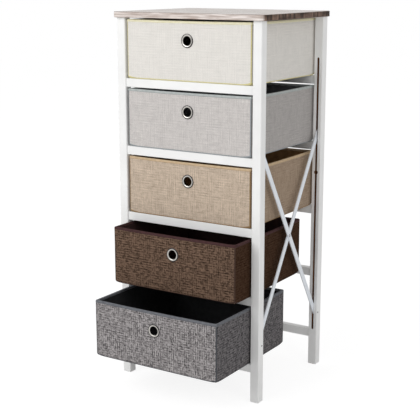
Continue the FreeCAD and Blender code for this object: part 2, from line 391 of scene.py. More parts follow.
legs = [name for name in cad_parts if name.startswith("leg_")]
rails = [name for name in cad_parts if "_rail_" in name]
dress(legs, leg_paint)
dress(rails, rail_paint)
print("painted", len(legs), "legs and", len(rails), "rails")

# %% [markdown]
# ## Wooden top
# The top is a board with a printed oak grain in grey brown. On its face growth rings run from side to
# side, and the front edge has fine lines. The side edges show sawn end grain, dark and matt with
# upright streaks, and a dark line runs along every arris. The board could be cut into
# pieces with one finish each, but it is one solid, so its material asks which way each point faces.

# %% Parts of the board
face_least = 0.9
arris_least = 0.3
side_range = (0.6, 0.9)


def facing(tree):
    """The way that the surface faces, as its parts along the three axes."""
    return axes(tree, add_node(tree, "ShaderNodeNewGeometry").outputs["Normal"])


def sideways_share(tree, low, high):
    """0 on what faces the front or the rear, rising to 1 on what faces left or right."""
    return remap(tree, calculate(tree, "ABSOLUTE", facing(tree)[0]), low, high, 0, 1)


def board_parts(tree):
    """Three shares: 1 on the board's face, 1 on its arrises, and 1 on its side edges."""
    upward = calculate(tree, "ABSOLUTE", facing(tree)[2])
    on_face = calculate(tree, "GREATER_THAN", upward, face_least)
    on_arris = calculate(tree, "SUBTRACT", calculate(tree, "GREATER_THAN", upward, arris_least), on_face)
    return on_face, on_arris, sideways_share(tree, *side_range)


face_tilt = math.degrees(math.acos(face_least))
arris_tilt = math.degrees(math.acos(arris_least))
print("the face tilts by up to", round(face_tilt), "degrees and an arris by up to", round(arris_tilt))

# %% [markdown]
# ## Oak grain
# A board that is cut flat from the log shows growth rings as lines that run along it, bend and close
# in long loops, and between them short dark pores. Blender's wave texture draws even bands, which look
# printed. Here the place across the board is bent by slow noise first, and its running up and down
# between 0 and 1 gives the rings.

# %% Oak grain
half_rings_per_metre = 62.0
ring_swing = 30.0
ring_bend_scale = (1.3, 5.0, 1.0)
oak_bands = (0.35, 0.65)
oak_pores = (0.42, 0.6)
pore_shade = 0.8


def growth_rings(tree, place):
    """Growth rings of a board cut flat: lines along the grain that bend round and close in places."""
    straight = calculate(tree, "MULTIPLY", axes(tree, place)[1], half_rings_per_metre)
    bend = stretched_noise(tree, place, ring_bend_scale, detail=1.5)
    bent = calculate(tree, "ADD", straight, calculate(tree, "MULTIPLY", bend, ring_swing))
    return remap(tree, calculate(tree, "PINGPONG", bent, 1.0), 0, 1, *oak_bands)


def oak_tone(tree, bands, grain, tones):
    """One tone of oak: bands of two colours with dark pores along the grain."""
    dark, middle, pale = tones
    wood = mix_colour(tree, remap(tree, bands, *oak_bands, 0, 1), middle, pale)
    return mix_colour(tree, remap(tree, grain, *oak_pores, pore_shade, 0), wood, dark)


board_low, board_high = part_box("top_board")
board_rings = half_rings_per_metre / 2 * (board_high.y - board_low.y)
print("about", round(board_rings), "growth rings from front to rear")

# %% The oak board
oak_face = (colour("B5AAA3"), colour("C3B9B2"), colour("F2EFEC"))
oak_front = (colour("A39187"), colour("D6CAC3"), colour("F2EAE5"))
oak_side = (colour("140C08"), colour("3E2E25"), colour("876F61"))
oak_arris = colour("6A5549")
arris_darkening = 0.85
face_grain_scale = (16.0, 480.0, 7.0)
front_grain_scale = (16.0, 16.0, 420.0)
side_grain_scale = (40.0, 80.0, 14.0)
edge_band_scale = (11.0, 11.0, 60.0)
oak_roughness = (0.5, 0.34)
sawn_roughness = 0.95
oak_bump = 0.2
oak_bump_height = 0.3 * mm


def mix_value(tree, share, first, second):
    """A value between two others."""
    return add_node(tree, "ShaderNodeMix", {0: share, 2: first, 3: second}).outputs[0]


def oak_board():
    """Grey-brown oak: pale on the face and the front edge, dark on the side edges and along each arris."""
    material, tree, shader = new_material("grey_oak")
    place = object_place(tree)
    on_face, on_arris, on_side = board_parts(tree)
    face_grain = stretched_noise(tree, place, face_grain_scale, detail=4.0)
    front_grain = stretched_noise(tree, place, front_grain_scale, detail=5.0)
    side_grain = stretched_noise(tree, place, side_grain_scale, detail=4.0)
    edge_bands = stretched_noise(tree, place, edge_band_scale, detail=2.0)
    front = oak_tone(tree, edge_bands, front_grain, oak_front)
    side = oak_tone(tree, edge_bands, side_grain, oak_side)
    face = oak_tone(tree, growth_rings(tree, place), face_grain, oak_face)
    wood = mix_colour(tree, on_face, mix_colour(tree, on_side, front, side), face)
    # darker along every arris, towards the arris colour
    wood = mix_colour(tree, calculate(tree, "MULTIPLY", on_arris, arris_darkening), wood, oak_arris)
    grain = mix_value(tree, on_face, mix_value(tree, on_side, front_grain, side_grain), face_grain)
    sawn = calculate(tree, "MULTIPLY", on_side, sawn_roughness)
    roughness = calculate(tree, "MAXIMUM", wander(tree, grain, *oak_roughness), sawn)
    set_surface(tree, shader, Base_Color=wood, Roughness=roughness)
    add_bump(tree, shader, grain, oak_bump, oak_bump_height)
    return material


dress(["top_board"], oak_board())
print("board of", in_mm(board_high - board_low), "mm")

# %% [markdown]
# ## Braces, pins and hidden wood
# The scissor bars are flat steel with a pale blue-white powder coat, which has a fine orange-peel
# skin. The pins in the legs are dark steel, so their ends show as dots, and the rivets are zinc-plated.
# The pegs under the top and the stiffening boards inside the cloth walls hardly show, but they get a
# finish too, because the pieces are also used on their own. All of these are plain finishes that
# wander between two tones, so one function with a few values makes them.

# %% Plain finishes
skin_scale = 900.0
skin_height = 0.2 * mm


def speckled(name, tones, grains, roughness, bump, metallic=0.0):
    """A finish that wanders between two tones, with a grainy skin."""
    material, tree, shader = new_material(name)
    place = object_place(tree)
    cloud = stretched_noise(tree, place, grains)
    skin = stretched_noise(tree, place, even(skin_scale), detail=1.0)
    tone = mix_colour(tree, wander(tree, cloud), colour(tones[0]), colour(tones[1]))
    set_surface(tree, shader, Base_Color=tone, Metallic=metallic, Roughness=wander(tree, cloud, *roughness))
    add_bump(tree, shader, skin, bump, skin_height)
    return material


powder_coat = speckled("brace_powder_coat", ("E6EBF2", "F1F5FA"), grains=even(30.0),
                       roughness=(0.34, 0.44), bump=0.08)
steel = {"grains": even(250.0), "roughness": (0.3, 0.45), "bump": 0.05, "metallic": 1.0}
dark_steel = speckled("dark_steel", ("262628", "454548"), **steel)
zinc_steel = speckled("zinc_steel", ("77777A", "A4A4A8"), **steel)
beech = speckled("beech_peg", ("B48A5E", "CDA678"), grains=(90.0, 90.0, 6.0), roughness=(0.6, 0.75), bump=0.2)
grey_board = speckled("grey_board", ("8A7A68", "A39482"), grains=even(60.0), roughness=(0.8, 0.95), bump=0.3)
print("plain finishes of", len(beech.node_tree.nodes), "nodes each")

# %% Dress braces, pins, pegs and stiffening boards
braces = ["brace_right_inner", "brace_right_outer", "brace_left_inner", "brace_left_outer"]
pins = ["brace_pivot_pins", "brace_slide_pins"]
bin_nodes = [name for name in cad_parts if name.startswith("drawer_")]
boards = [name for name in bin_nodes if name.endswith(("_board", "_boards"))]
dress(braces, powder_coat)
dress(pins, dark_steel)
dress(["brace_rivets"], zinc_steel)
dress(["top_pegs"], beech)
dress(boards, grey_board)
print("dressed", len(braces), "braces,", len(pins), "sets of pins and", len(boards), "sets of boards")

# %% [markdown]
# ## Five bins in five colours
# From the top the bins are cream, light grey, tan, brown and charcoal, each with a tape of its own
# tone. They could be five blocks of code, but they differ only in colours and in how lively the yarn
# is, so these values stand together in one table. Streaks and speckle say how strongly the yarn
# changes tone, slub is the length of a streak, and upright the share of streaks that run upright. The
# painted side shade says how far the end walls, which face left and right, are mixed towards the
# painted side tone: a painted shade that makes them darker, as if less light fell on them.

# %% Colours of the bins
bin_looks = {
    1: {
        "slots": ("cover_cream", "binding_straw", "lining_black"),
        "linen": {"dark": "DFDCD6", "light": "F7F3ED", "streaks": 0.45, "speckle": 0.25,
                  "slub": 45 * mm, "upright": 0.5, "painted_side_shade": 0.0, "painted_side_tone": "000000"},
        "rim": ("ECE6BE", "F9F4DC"),
        "edge": ("D3C98C", "E6DEAA"),
        "lining": ("4C4C4E", "747476"),
    },
    2: {
        "slots": ("cover_light_grey", "binding_mist_blue", "lining_black"),
        "linen": {"dark": "B0ABA9", "light": "ECE7E3", "streaks": 0.34, "speckle": 0.28,
                  "slub": 32 * mm, "upright": 0.5, "painted_side_shade": 0.27, "painted_side_tone": "000000"},
        "rim": ("A3AAA9", "C0C4C2"),
        "edge": ("8C9296", "A6ACAF"),
        "lining": ("4C4C4E", "747476"),
    },
    3: {
        "slots": ("cover_tan", "binding_ochre", "lining_dark_brown"),
        "linen": {"dark": "9D8D7C", "light": "EBD7C2", "streaks": 0.45, "speckle": 0.36,
                  "slub": 28 * mm, "upright": 0.5, "painted_side_shade": 0.45, "painted_side_tone": "694B29"},
        "rim": ("B8A180", "D6BC9B"),
        "edge": ("8A7050", "A88A62"),
        "lining": ("7C5A3A", "AC855A"),
    },
    4: {
        "slots": ("cover_brown", "binding_plum_brown", "lining_dark_brown"),
        "linen": {"dark": "2D2119", "light": "836A59", "streaks": 1.1, "speckle": 0.85,
                  "slub": 12 * mm, "upright": 0.36, "painted_side_shade": 0.76, "painted_side_tone": "2C1400"},
        "rim": ("372524", "503435"),
        "edge": ("3A2A24", "4E3B32"),
        "lining": ("2A1A1A", "442E2C"),
    },
    5: {
        "slots": ("cover_charcoal", "binding_slate", "lining_black"),
        "linen": {"dark": "3A3738", "light": "BDB8B8", "streaks": 1.0, "speckle": 0.85,
                  "slub": 10 * mm, "upright": 0.55, "painted_side_shade": 0.5, "painted_side_tone": "14141E"},
        "rim": ("5C5E63", "787A7F"),
        "edge": ("414347", "5A5C60"),
        "lining": ("1E1E20", "323234"),
    },
}
print(len(bin_looks), "sets of colours")

# %% [markdown]
# ## Linen
# The covers are woven like linen: threads cross over and under, and each thread has a tone of its own
# that changes along it, so thick and thin stretches of yarn show as pale and dark streaks. Every
# thread could be modelled, but a bin has well over a thousand of them. So the weave is a pattern on
# the cloth's own UV map, which is in metres: rounding a place down to whole threads gives each thread
# its number, and noise read at that number gives it its tone.

# %% Threads
thread_pitch = 1.1 * mm
thread_spacing = 5.37
yarn_range = (0.25, 0.75)
second_shade = 0.38


def on_cloth(tree):
    """A point's place on the flat cloth, in metres."""
    return add_node(tree, "ShaderNodeUVMap", uv_map="cloth").outputs[0]


def yarn_tone(tree, along, across, pitch, length):
    """A tone for each thread of a pitch, that changes along it and is darker on every second thread."""
    number = calculate(tree, "FLOOR", calculate(tree, "DIVIDE", across, pitch))
    second = calculate(tree, "MULTIPLY", calculate(tree, "FLOORED_MODULO", number, 2.0), second_shade)
    apart = calculate(tree, "MULTIPLY", number, thread_spacing)
    spot = add_node(tree, "ShaderNodeCombineXYZ", {0: calculate(tree, "DIVIDE", along, length), 1: apart})
    inputs = {"Vector": spot.outputs[0], "Scale": 1.0, "Detail": 1.0}
    tone = add_node(tree, "ShaderNodeTexNoise", inputs, noise_dimensions="2D").outputs["Fac"]
    tone = remap(tree, tone, *yarn_range, second_shade / 2, 1 + second_shade / 2)
    return calculate(tree, "SUBTRACT", tone, second)


print(round(10 * mm / thread_pitch, 1), "threads to a centimetre")

# %% [markdown]
# ## Slubs and plain weave
# Two patterns lie over each other. Slubs are thick stretches of yarn, which show as long streaks, in
# some patches mostly across and in others mostly upright. Below them every single thread goes over
# one and under the next. The product of two sine waves, one across and one upright, changes its sign
# from crossing to crossing, so it says which thread is on top, and it is 0 in the gaps between threads.

# %% Slubs and plain weave
thread_length = 5 * thread_pitch
slub_pitch = 3 * thread_pitch
patch_size = 60.0 * mm
patch_turn = 0.3


def slub_streaks(tree, place, slub, upright):
    """Streaks as long as the slubs, across and upright, in shares that change from patch to patch."""
    u, v, _ = axes(tree, place)
    weft = yarn_tone(tree, u, v, slub_pitch, slub)
    warp = yarn_tone(tree, v, u, slub_pitch, slub)
    patches = stretched_noise(tree, place, (1 / patch_size, 1 / patch_size, 1.0), detail=1.0)
    warp_share = wander(tree, patches, upright - patch_turn, upright + patch_turn)
    return mix_value(tree, warp_share, weft, warp)


def thread_wave(tree, across):
    """A wave that is 0 in the gap between two threads and changes its sign there."""
    return calculate(tree, "SINE", calculate(tree, "MULTIPLY", across, math.pi / thread_pitch))


def plain_weave(tree, place):
    """The tone of the thread on top, and its height: 0 in the gaps and 1 in the middle of a crossing."""
    u, v, _ = axes(tree, place)
    weft = yarn_tone(tree, u, v, thread_pitch, thread_length)
    warp = yarn_tone(tree, v, u, thread_pitch, thread_length)
    weave = calculate(tree, "MULTIPLY", thread_wave(tree, u), thread_wave(tree, v))
    yarn = mix_value(tree, calculate(tree, "GREATER_THAN", weave, 0), weft, warp)
    return yarn, calculate(tree, "ABSOLUTE", weave)


print("slubs", *in_mm([slub_pitch]), "mm wide in patches of about", *in_mm([patch_size]), "mm")

# %% [markdown]
# ## The covers' cloth
# A cover's colour lies between a dark and a light yarn. The streaks, the single threads and a fine
# fuzz each push it a little towards one or the other, the gaps between threads get a painted shade, and
# the end walls a painted side shade in a tone of their own. All of it could be baked into pictures, but
# as nodes one function makes five cloths from five rows of the table.

# %% Five linens
black = colour("000000")
fuzz_size = 0.4 * mm
fuzz_range = (0.2, 0.8)
fuzz_share = 0.25
gap_height = 0.4
painted_gap_shade = 0.22
# painted shade: how far a face must turn left or right to take the painted side shade
painted_shade_facing = (0.5, 0.9)
linen_bump = 0.45
linen_bump_height = 0.3 * mm


def swing(tree, value, size):
    """A value from 0 to 1 as a push down or up of a given size."""
    return calculate(tree, "MULTIPLY", calculate(tree, "SUBTRACT", value, 0.5), size)


def clamp(tree, value):
    """A value kept between 0 and 1."""
    return add_node(tree, "ShaderNodeClamp", {0: value}).outputs[0]


def woven_cloth(name, dark, light, streaks, speckle, slub, upright, painted_side_shade, painted_side_tone):
    """Linen between a dark and a light yarn, with streaks as long as its slubs and a painted shade on its end
    walls.
    """
    material, tree, shader = new_material(name)
    place = on_cloth(tree)
    slubs = slub_streaks(tree, place, slub, upright)
    yarn, height = plain_weave(tree, place)
    fuzz = stretched_noise(tree, place, (1 / fuzz_size, 1 / fuzz_size, 1.0), detail=1.0)
    fuzz = remap(tree, fuzz, *fuzz_range, 0.5 - fuzz_share, 0.5 + fuzz_share)
    share = calculate(tree, "ADD", swing(tree, slubs, streaks), swing(tree, yarn, speckle))
    share = clamp(tree, calculate(tree, "ADD", share, fuzz))
    cloth = mix_colour(tree, share, colour(dark), colour(light))
    # painted shade: the gaps between threads are mixed towards black
    cloth = mix_colour(tree, remap(tree, height, 0, gap_height, painted_gap_shade, 0), cloth, black)
    # painted shade: end walls that face left or right are mixed towards the painted side tone, darker as if
    # less light fell on them
    painted_shade_share = calculate(tree, "MULTIPLY", sideways_share(tree, *painted_shade_facing), painted_side_shade)
    cloth = mix_colour(tree, painted_shade_share, cloth, colour(painted_side_tone))
    set_surface(tree, shader, Base_Color=cloth, Roughness=0.95, Specular_IOR_Level=0.08)
    add_bump(tree, shader, calculate(tree, "ADD", height, slubs), linen_bump, linen_bump_height)
    return material


linens = {tier: woven_cloth(f"linen_{tier}", **look["linen"]) for tier, look in bin_looks.items()}
print(len(linens), "linens of", len(linens[1].node_tree.nodes), "nodes each")

# %% [markdown]
# ## Tape
# The binding tape is a narrow band with fine ribs across it, a little worn in places. The ribs could
# be modelled, but each is only a millimetre wide, so a sine wave along the tape gives them, as a faint
# change of tone and as a bump.

# %% Tapes
rib_pitch = 1.1 * mm
rib_share = 0.1
rib_bump = 0.3
rib_height = 0.2 * mm
wear_scale = (90.0, 260.0, 1.0)
wear_range = (0.1, 0.9)


def ribbed_tape(name, tones):
    """Binding tape with fine ribs across it."""
    material, tree, shader = new_material(name)
    place = on_cloth(tree)
    ribs = calculate(tree, "SINE", calculate(tree, "MULTIPLY", axes(tree, place)[0], 2 * math.pi / rib_pitch))
    wear = wander(tree, stretched_noise(tree, place, wear_scale), *wear_range)
    share = clamp(tree, calculate(tree, "ADD", wear, calculate(tree, "MULTIPLY", ribs, rib_share)))
    band = mix_colour(tree, share, colour(tones[0]), colour(tones[1]))
    set_surface(tree, shader, Base_Color=band, Roughness=0.85, Specular_IOR_Level=0.15)
    add_bump(tree, shader, ribs, rib_bump, rib_height)
    return material


rim_ribbons = {tier: ribbed_tape(f"rim_tape_{tier}", look["rim"]) for tier, look in bin_looks.items()}
edge_ribbons = {tier: ribbed_tape(f"edge_tape_{tier}", look["edge"]) for tier, look in bin_looks.items()}
print(len(rim_ribbons) + len(edge_ribbons), "tapes")

# %% [markdown]
# ## Lining
# The lining is a dark felt-like cloth that is pressed with tiny dots, which hold its fibres together.
# The dots could be pressed into the mesh, but each bin has a great many of them. They stand in a grid
# that isn't quite even, and Blender's cell pattern with little scatter gives such a grid on the
# cloth's UV map, so that it runs round the corners with the cloth.

# %% Linings
dots_per_metre = 520.0
dot_scatter = 0.15
dot_range = (0.1, 0.5)
dot_tone = 0.3
dot_bump = 0.3
dot_height = 0.25 * mm
felt_scale = (70.0, 70.0, 1.0)
felt_range = (0.3, 1.0)


def pressed_lining(name, tones):
    """Felt-like lining with small pressed dots."""
    material, tree, shader = new_material(name)
    place = on_cloth(tree)
    inputs = {"Vector": place, "Scale": dots_per_metre, "Randomness": dot_scatter}
    dots = add_node(tree, "ShaderNodeTexVoronoi", inputs).outputs["Distance"]
    cloud = wander(tree, stretched_noise(tree, place, felt_scale), *felt_range)
    share = calculate(tree, "MULTIPLY", cloud, remap(tree, dots, *dot_range, dot_tone, 1))
    felt = mix_colour(tree, share, colour(tones[0]), colour(tones[1]))
    set_surface(tree, shader, Base_Color=felt, Roughness=0.85, Specular_IOR_Level=0.2)
    add_bump(tree, shader, dots, dot_bump, dot_height)
    return material


felts = {tier: pressed_lining(f"lining_felt_{tier}", look["lining"]) for tier, look in bin_looks.items()}
print(len(felts), "linings with dots", *in_mm([1 / dots_per_metre]), "mm apart")

# %% [markdown]
# ## The shape of a bin
# A cloth bin isn't five plates. Its upright edges are rounded, its lower corners are softer still, the
# walls bow out a little between their edges and dip where the finger ring clamps them, and the rim
# sags slightly in the middle of each side. Such cloth could be simulated or sculpted, but it is
# stretched over boards and hardly moves, and all layers of a bin have to lie close together. So the
# shape is one rule that every layer follows: a walk round the bin in stations, and a place for each
# station at any depth in the wall and any height.

# %% Sizes of a bin, read from the frame
bin_low, bin_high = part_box("drawer_1_binding")
bin_size = bin_high - bin_low
ring_low, ring_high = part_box("drawer_1_eyelet")
ring_height = (ring_low.z + ring_high.z) / 2 - bin_low.z
tape_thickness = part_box("drawer_1_cover")[0].x - bin_low.x
lining_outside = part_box("drawer_1_lining")[0].x - bin_low.x
cloth_thickness = 1.0 * mm
lining_thickness = 0.8 * mm
wall_thickness = lining_outside + lining_thickness
cloth_top = bin_size.z - tape_thickness
print("bin", in_mm(bin_size), "mm, walls", *in_mm([wall_thickness]), "mm")

# %% Stops along a side
front = 0
half_out = [bin_size.y / 2, bin_size.x / 2, bin_size.y / 2, bin_size.x / 2]
half_on = half_out[1:] + half_out[:1]
edge_margin = 12.0 * mm
ring_patch = 26.0 * mm
side_steps = 24
front_steps = 9
ring_steps = 8


def spread(first, last, steps):
    """Evenly spaced values from the first to the last."""
    return [first + (last - first) * i / steps for i in range(steps + 1)]


def side_stops(side):
    """Places along a side, measured from its middle. On the front they stand closer by the finger ring."""
    end = half_on[side] - edge_margin
    if side != front:
        return spread(-end, end, side_steps)
    by_ring = spread(-ring_patch, ring_patch, ring_steps)
    return spread(-end, -ring_patch, front_steps) + by_ring[1:-1] + spread(ring_patch, end, front_steps)


print("stops along the four sides:", [len(side_stops(side)) for side in range(len(half_on))])

# %% [markdown]
# ## A walk round the bin
# The stations go along the front, round a corner, along the right side and so on. Each one has its
# side, its place along that side, its turn round the corner after the side, and its run along the whole
# walk. A plain list of points would do for one layer, but the other layers need the side and the turn to
# find their own places, and the run becomes the place on the flat cloth.

# %% Stations round a bin
quarter_turn = math.pi / 2
corner_radius = 3.2 * mm
corner_steps = 6
Station = namedtuple("Station", "side along turn run")


def make_stations():
    """The walk round a bin: along each side and round the corner after it, with the run so far."""
    walk = []
    run = 0.0
    for side in range(len(half_on)):
        length = 2 * half_on[side]
        for stop in side_stops(side):
            walk.append(Station(side, stop, 0.0, run + stop + half_on[side]))
        for turn in spread(0, quarter_turn, corner_steps):
            run_here = run + length - corner_radius + turn * corner_radius
            walk.append(Station(side, half_on[side], turn, run_here))
        run += length - 2 * corner_radius + quarter_turn * corner_radius
    return walk, run


stations, bin_girth = make_stations()
print(len(stations), "stations round", *in_mm([bin_girth]), "mm")

# %% [markdown]
# ## Places in plan
# Seen from above, a layer is a rectangle with round corners. A layer deeper in the wall is smaller,
# and its corners are rounder, because the lining doesn't go into the boards' corners. Bevelled boxes
# of several sizes would look alike, but here every point of a layer has its partner in the next one,
# which keeps the layers apart. Stations that would run into a rounder corner are moved back a little.

# %% Places in plan
outward = [Vector((0, -1)), Vector((1, 0)), Vector((0, 1)), Vector((-1, 0))]
onward = outward[1:] + outward[:1]
lining_corner_radius = 6.0 * mm
corner_margin = 1.0 * mm


def on_corner(station):
    """Whether a station is on the round of a corner."""
    return station.along >= half_on[station.side]


def corner_round(inset):
    """The corner's radius in plan at a depth in the wall."""
    return corner_radius + (lining_corner_radius - corner_radius) * inset / wall_thickness


def outline_place(station, inset, radius):
    """A station's place in plan at a depth in the wall, and the way out of the bin there."""
    side, along, turn, _ = station
    out = outward[side]
    on = onward[side]
    if not on_corner(station):
        reach = half_on[side] - inset - radius - corner_margin
        along *= min(1.0, reach / (half_on[side] - edge_margin))
        return out * (half_out[side] - inset) + on * along, out
    way = out * math.cos(turn) + on * math.sin(turn)
    centre = out * (half_out[side] - inset - radius) + on * (half_on[side] - inset - radius)
    return centre + way * radius, way


first_place, _ = outline_place(stations[0], wall_thickness, lining_corner_radius)
print("the lining's first station is at", in_mm(first_place), "mm in plan")

# %% [markdown]
# ## How the cloth gives
# Cloth over a board bows out most in the middle of a wall and not at all at its edges, and it has slow
# ripples. Round the finger ring it is clamped flat. A simulation would need many trials to hold such
# small moves. A half sine over the height, a parabola along the side and a little noise say them in a
# few numbers. The cover bows out and the lining bows in, since the boards stand between them.

# %% How the cloth gives
side_bows = [1.6 * mm, 2.2 * mm, 2.0 * mm, 2.2 * mm]
side_sags = [1.3 * mm, 0.9 * mm, 1.2 * mm, 0.9 * mm]
sag_power = 3
rim_bow = 0.5 * mm
rim_bow_power = 6
ripple_height = 0.3 * mm
ripple_scale = 22.0
ring_dimple = 48.0 * mm
lining_bow_share = -0.4


def side_share(station):
    """1 at the middle of a side and 0 at its ends."""
    return max(0.0, 1 - (station.along / half_on[station.side]) ** 2)


def bow_share(inset):
    """1 on the cover, falling to the lining's share through the wall."""
    through = min(1.0, max(0.0, (inset - tape_thickness) / (wall_thickness - tape_thickness)))
    return 1 + (lining_bow_share - 1) * through


def cloth_place(station, inset, height, radius, seed):
    """Where a station of a bin is at a depth in the wall and a height, in the bin's own frame."""
    share = side_share(station)
    level = min(1.0, max(0.0, height / bin_size.z))
    ripple = noise.noise(Vector((station.run * ripple_scale, height * ripple_scale, seed)))
    bow = (side_bows[station.side] * share + ripple_height * ripple) * math.sin(math.pi * level)
    if station.side == front and not on_corner(station):
        from_ring = math.hypot(station.along, height - ring_height)
        bow *= 1 - math.exp(-(from_ring / ring_dimple) ** 2)
    flat, way = outline_place(station, inset, radius)
    flat = flat + way * (bow * bow_share(inset) + rim_bow * share * level ** rim_bow_power)
    return Vector((flat.x, flat.y, height - side_sags[station.side] * share * level ** sag_power))


print("walls bow by up to", *in_mm([max(side_bows)]), "mm and rims sag by up to", *in_mm([max(side_sags)]))

# %% [markdown]
# ## Rows of a layer
# The cover, the lining and the edge tape are the same walk at different depths, so one builder makes
# them all. A layer is a grid of points: rows down the wall, round the bottom edge and in under the
# bottom. The bottom edge is rounder at the four corners, where the cloth of three faces meets. Each
# point also gets a place on the flat cloth in metres, its UV, so that the weave runs straight round
# the corners.

# %% Rows of a wall
rows_over_hole = 3
rows_under_hole = 6


def wall_rows(top, bottom):
    """The heights down a wall that all stations share: rim, finger hole, and down to the bottom edge."""
    upper = spread(top, ring_height + ring_patch, rows_over_hole)
    middle = spread(ring_height + ring_patch, ring_height - ring_patch, ring_steps)
    lower = spread(ring_height - ring_patch, bottom + edge_margin, rows_under_hole)
    return upper + middle[1:] + lower[1:]


wall_row_count = len(wall_rows(cloth_top, tape_thickness))
print(wall_row_count, "rows down each wall")

# %% Rows round the bottom edge
edge_steps = 5
lower_corner_radius = 7.0 * mm
lower_corner_reach = 24.0 * mm
tape_over_edge = 0.8 * mm
tape_under_bin = 2.0 * mm


def corner_share(station):
    """1 on a corner, falling to 0 a short way along the side."""
    away = half_on[station.side] - corner_radius - abs(station.along)
    return max(0.0, 1 - max(0.0, away) / lower_corner_reach) ** 2


def edge_rows(station, inset, edge_radius):
    """Depths and heights round the bottom edge at a station, with a softer round at the corners."""
    radius = edge_radius + (lower_corner_radius - edge_radius) * corner_share(station)
    rows = [(inset, inset + radius + tape_over_edge)]
    for angle in spread(0, quarter_turn, edge_steps):
        rows.append((inset + radius * (1 - math.cos(angle)), inset + radius * (1 - math.sin(angle))))
    rows.append((inset + radius + tape_under_bin, inset))
    return rows


rounder_stations = [station for station in stations if corner_share(station) > 0]
print("a rounder bottom edge at", len(rounder_stations), "of", len(stations), "stations")

# %% Grid of a layer
least_radius = 3.0 * mm


def layer_grid(inset, top, edge_radius, seed):
    """Rows of places of one cloth layer, and the UV of each, from the rim to under the bottom."""
    wall = [(inset, height) for height in wall_rows(top, inset)]
    columns = [wall + edge_rows(station, inset, edge_radius) for station in stations]
    grid = []
    maps = []
    for row in zip(*columns):
        radii = [max(corner_round(inset) - (depth - inset), least_radius) for depth, _ in row]
        grid.append([cloth_place(station, depth, height, radius, seed)
                     for station, (depth, height), radius in zip(stations, row, radii)])
        maps.append([(station.run, height - (depth - inset))
                     for station, (depth, height) in zip(stations, row)])
    return grid, maps


def every_face(row, column):
    """Keeps all faces of a grid."""
    return True


def walk_faces(maps, point_rows, keep=every_face):
    """Faces round a bin between rows of points, where keep says so, and the UVs of their corners."""
    count = len(stations)
    faces = []
    face_maps = []
    for row in range(len(maps) - 1):
        here = row * count
        below = (row + 1) % point_rows * count
        for column in range(count):
            after = (column + 1) % count
            closing = 0.0 if after else bin_girth
            if keep(row, column):
                faces.append([here + column, below + column, below + after, here + after])
                left = [maps[row][column], maps[row + 1][column]]
                right = [(u + closing, v) for u, v in (maps[row + 1][after], maps[row][after])]
                face_maps.append(left + right)
    return faces, face_maps


print("each row of a layer has", len(stations), "faces")

# %% [markdown]
# ## Finger hole
# The front wall has a round hole for the finger ring. A boolean cut would leave thin, uneven faces, so
# a square of the grid is left out and filled with rings of faces that lead from the square's border to
# the round hole. Each ring is a step of the way from the border to the hole.

# %% The square round the finger hole
near_enough = 0.1 * mm
first_hole_row = rows_over_hole
last_hole_row = first_hole_row + ring_steps
patch_edge = ring_patch + near_enough
patch_columns = [i for i, s in enumerate(stations) if s.side == front and abs(s.along) <= patch_edge]
left_column = patch_columns[0]
right_column = patch_columns[-1]

# The square's border as rows and columns of the grid, walked from its lower left corner
hole_border = [(last_hole_row, column) for column in range(left_column, right_column)]
hole_border += [(row, right_column) for row in range(last_hole_row, first_hole_row, -1)]
hole_border += [(first_hole_row, column) for column in range(right_column, left_column, -1)]
hole_border += [(row, left_column) for row in range(first_hole_row, last_hole_row)]


def beside_hole(row, column):
    """Whether a face lies outside the square round the finger hole."""
    return not (left_column <= column < right_column and first_hole_row <= row < last_hole_row)


print("a square of", right_column - left_column, "by", last_hole_row - first_hole_row, "faces")

# %% Rings of faces round the finger hole
hole_radius = 12.95 * mm
hole_steps = 4


def towards_hole(along, height, share):
    """A point that is a share of the way from the square's border to the finger hole."""
    angle = math.atan2(height - ring_height, along)
    x = along + (hole_radius * math.cos(angle) - along) * share
    z = height + (ring_height + hole_radius * math.sin(angle) - height) * share
    return x, z


def add_finger_hole(points, faces, face_maps, maps, inset, seed):
    """Adds the rings of faces from the square's border in to the finger hole."""
    heights = wall_rows(cloth_top, inset)
    count = len(hole_border)
    outer = [row * len(stations) + column for row, column in hole_border]
    outer_map = [maps[row][column] for row, column in hole_border]
    for share in spread(0, 1, hole_steps)[1:]:
        inner = list(range(len(points), len(points) + count))
        inner_map = []
        for row, column in hole_border:
            x, z = towards_hole(stations[column].along, heights[row], share)
            station = Station(front, x, 0.0, x + half_on[front])
            points.append(cloth_place(station, inset, z, corner_round(inset), seed))
            inner_map.append((station.run, z))
        for i in range(count):
            j = (i + 1) % count
            faces.append([outer[i], outer[j], inner[j], inner[i]])
            face_maps.append([outer_map[i], outer_map[j], inner_map[j], inner_map[i]])
        outer = inner
        outer_map = inner_map


print(hole_steps, "rings of", len(hole_border), "faces each")

# %% [markdown]
# ## From points to a finished piece
# A list of points and faces becomes a mesh with a UV map. Cloth has a thickness, which could be built
# as a second skin, but the Solidify modifier does just that. A modifier is only a plan, so the
# evaluated result is kept as a plain mesh and the modifier removed. Bins are modelled once, about
# their own middle, and each mesh is then moved to where its bin stands.

# %% From points to a finished piece
def link_mesh(name, mesh):
    """A new object of the scene with a mesh."""
    made = bpy.data.objects.new(name, mesh)
    scene.collection.objects.link(made)
    return made


def finish_mesh(name, points, faces, face_maps, material):
    """A smooth mesh object with a UV map in metres, without the points that no face uses."""
    mesh = bpy.data.meshes.new(name)
    mesh.from_pydata(points, [], faces)
    layer = mesh.uv_layers.new(name="cloth")
    flat_map = [place for face_map in face_maps for place in face_map]
    for loop, place in zip(layer.data, flat_map):
        loop.uv = place
    mesh.polygons.foreach_set("use_smooth", [True] * len(mesh.polygons))
    mesh.materials.append(material)
    work = bmesh.new()
    work.from_mesh(mesh)
    bmesh.ops.delete(work, geom=[v for v in work.verts if not v.link_faces], context="VERTS")
    work.to_mesh(mesh)
    work.free()
    return link_mesh(name, mesh)


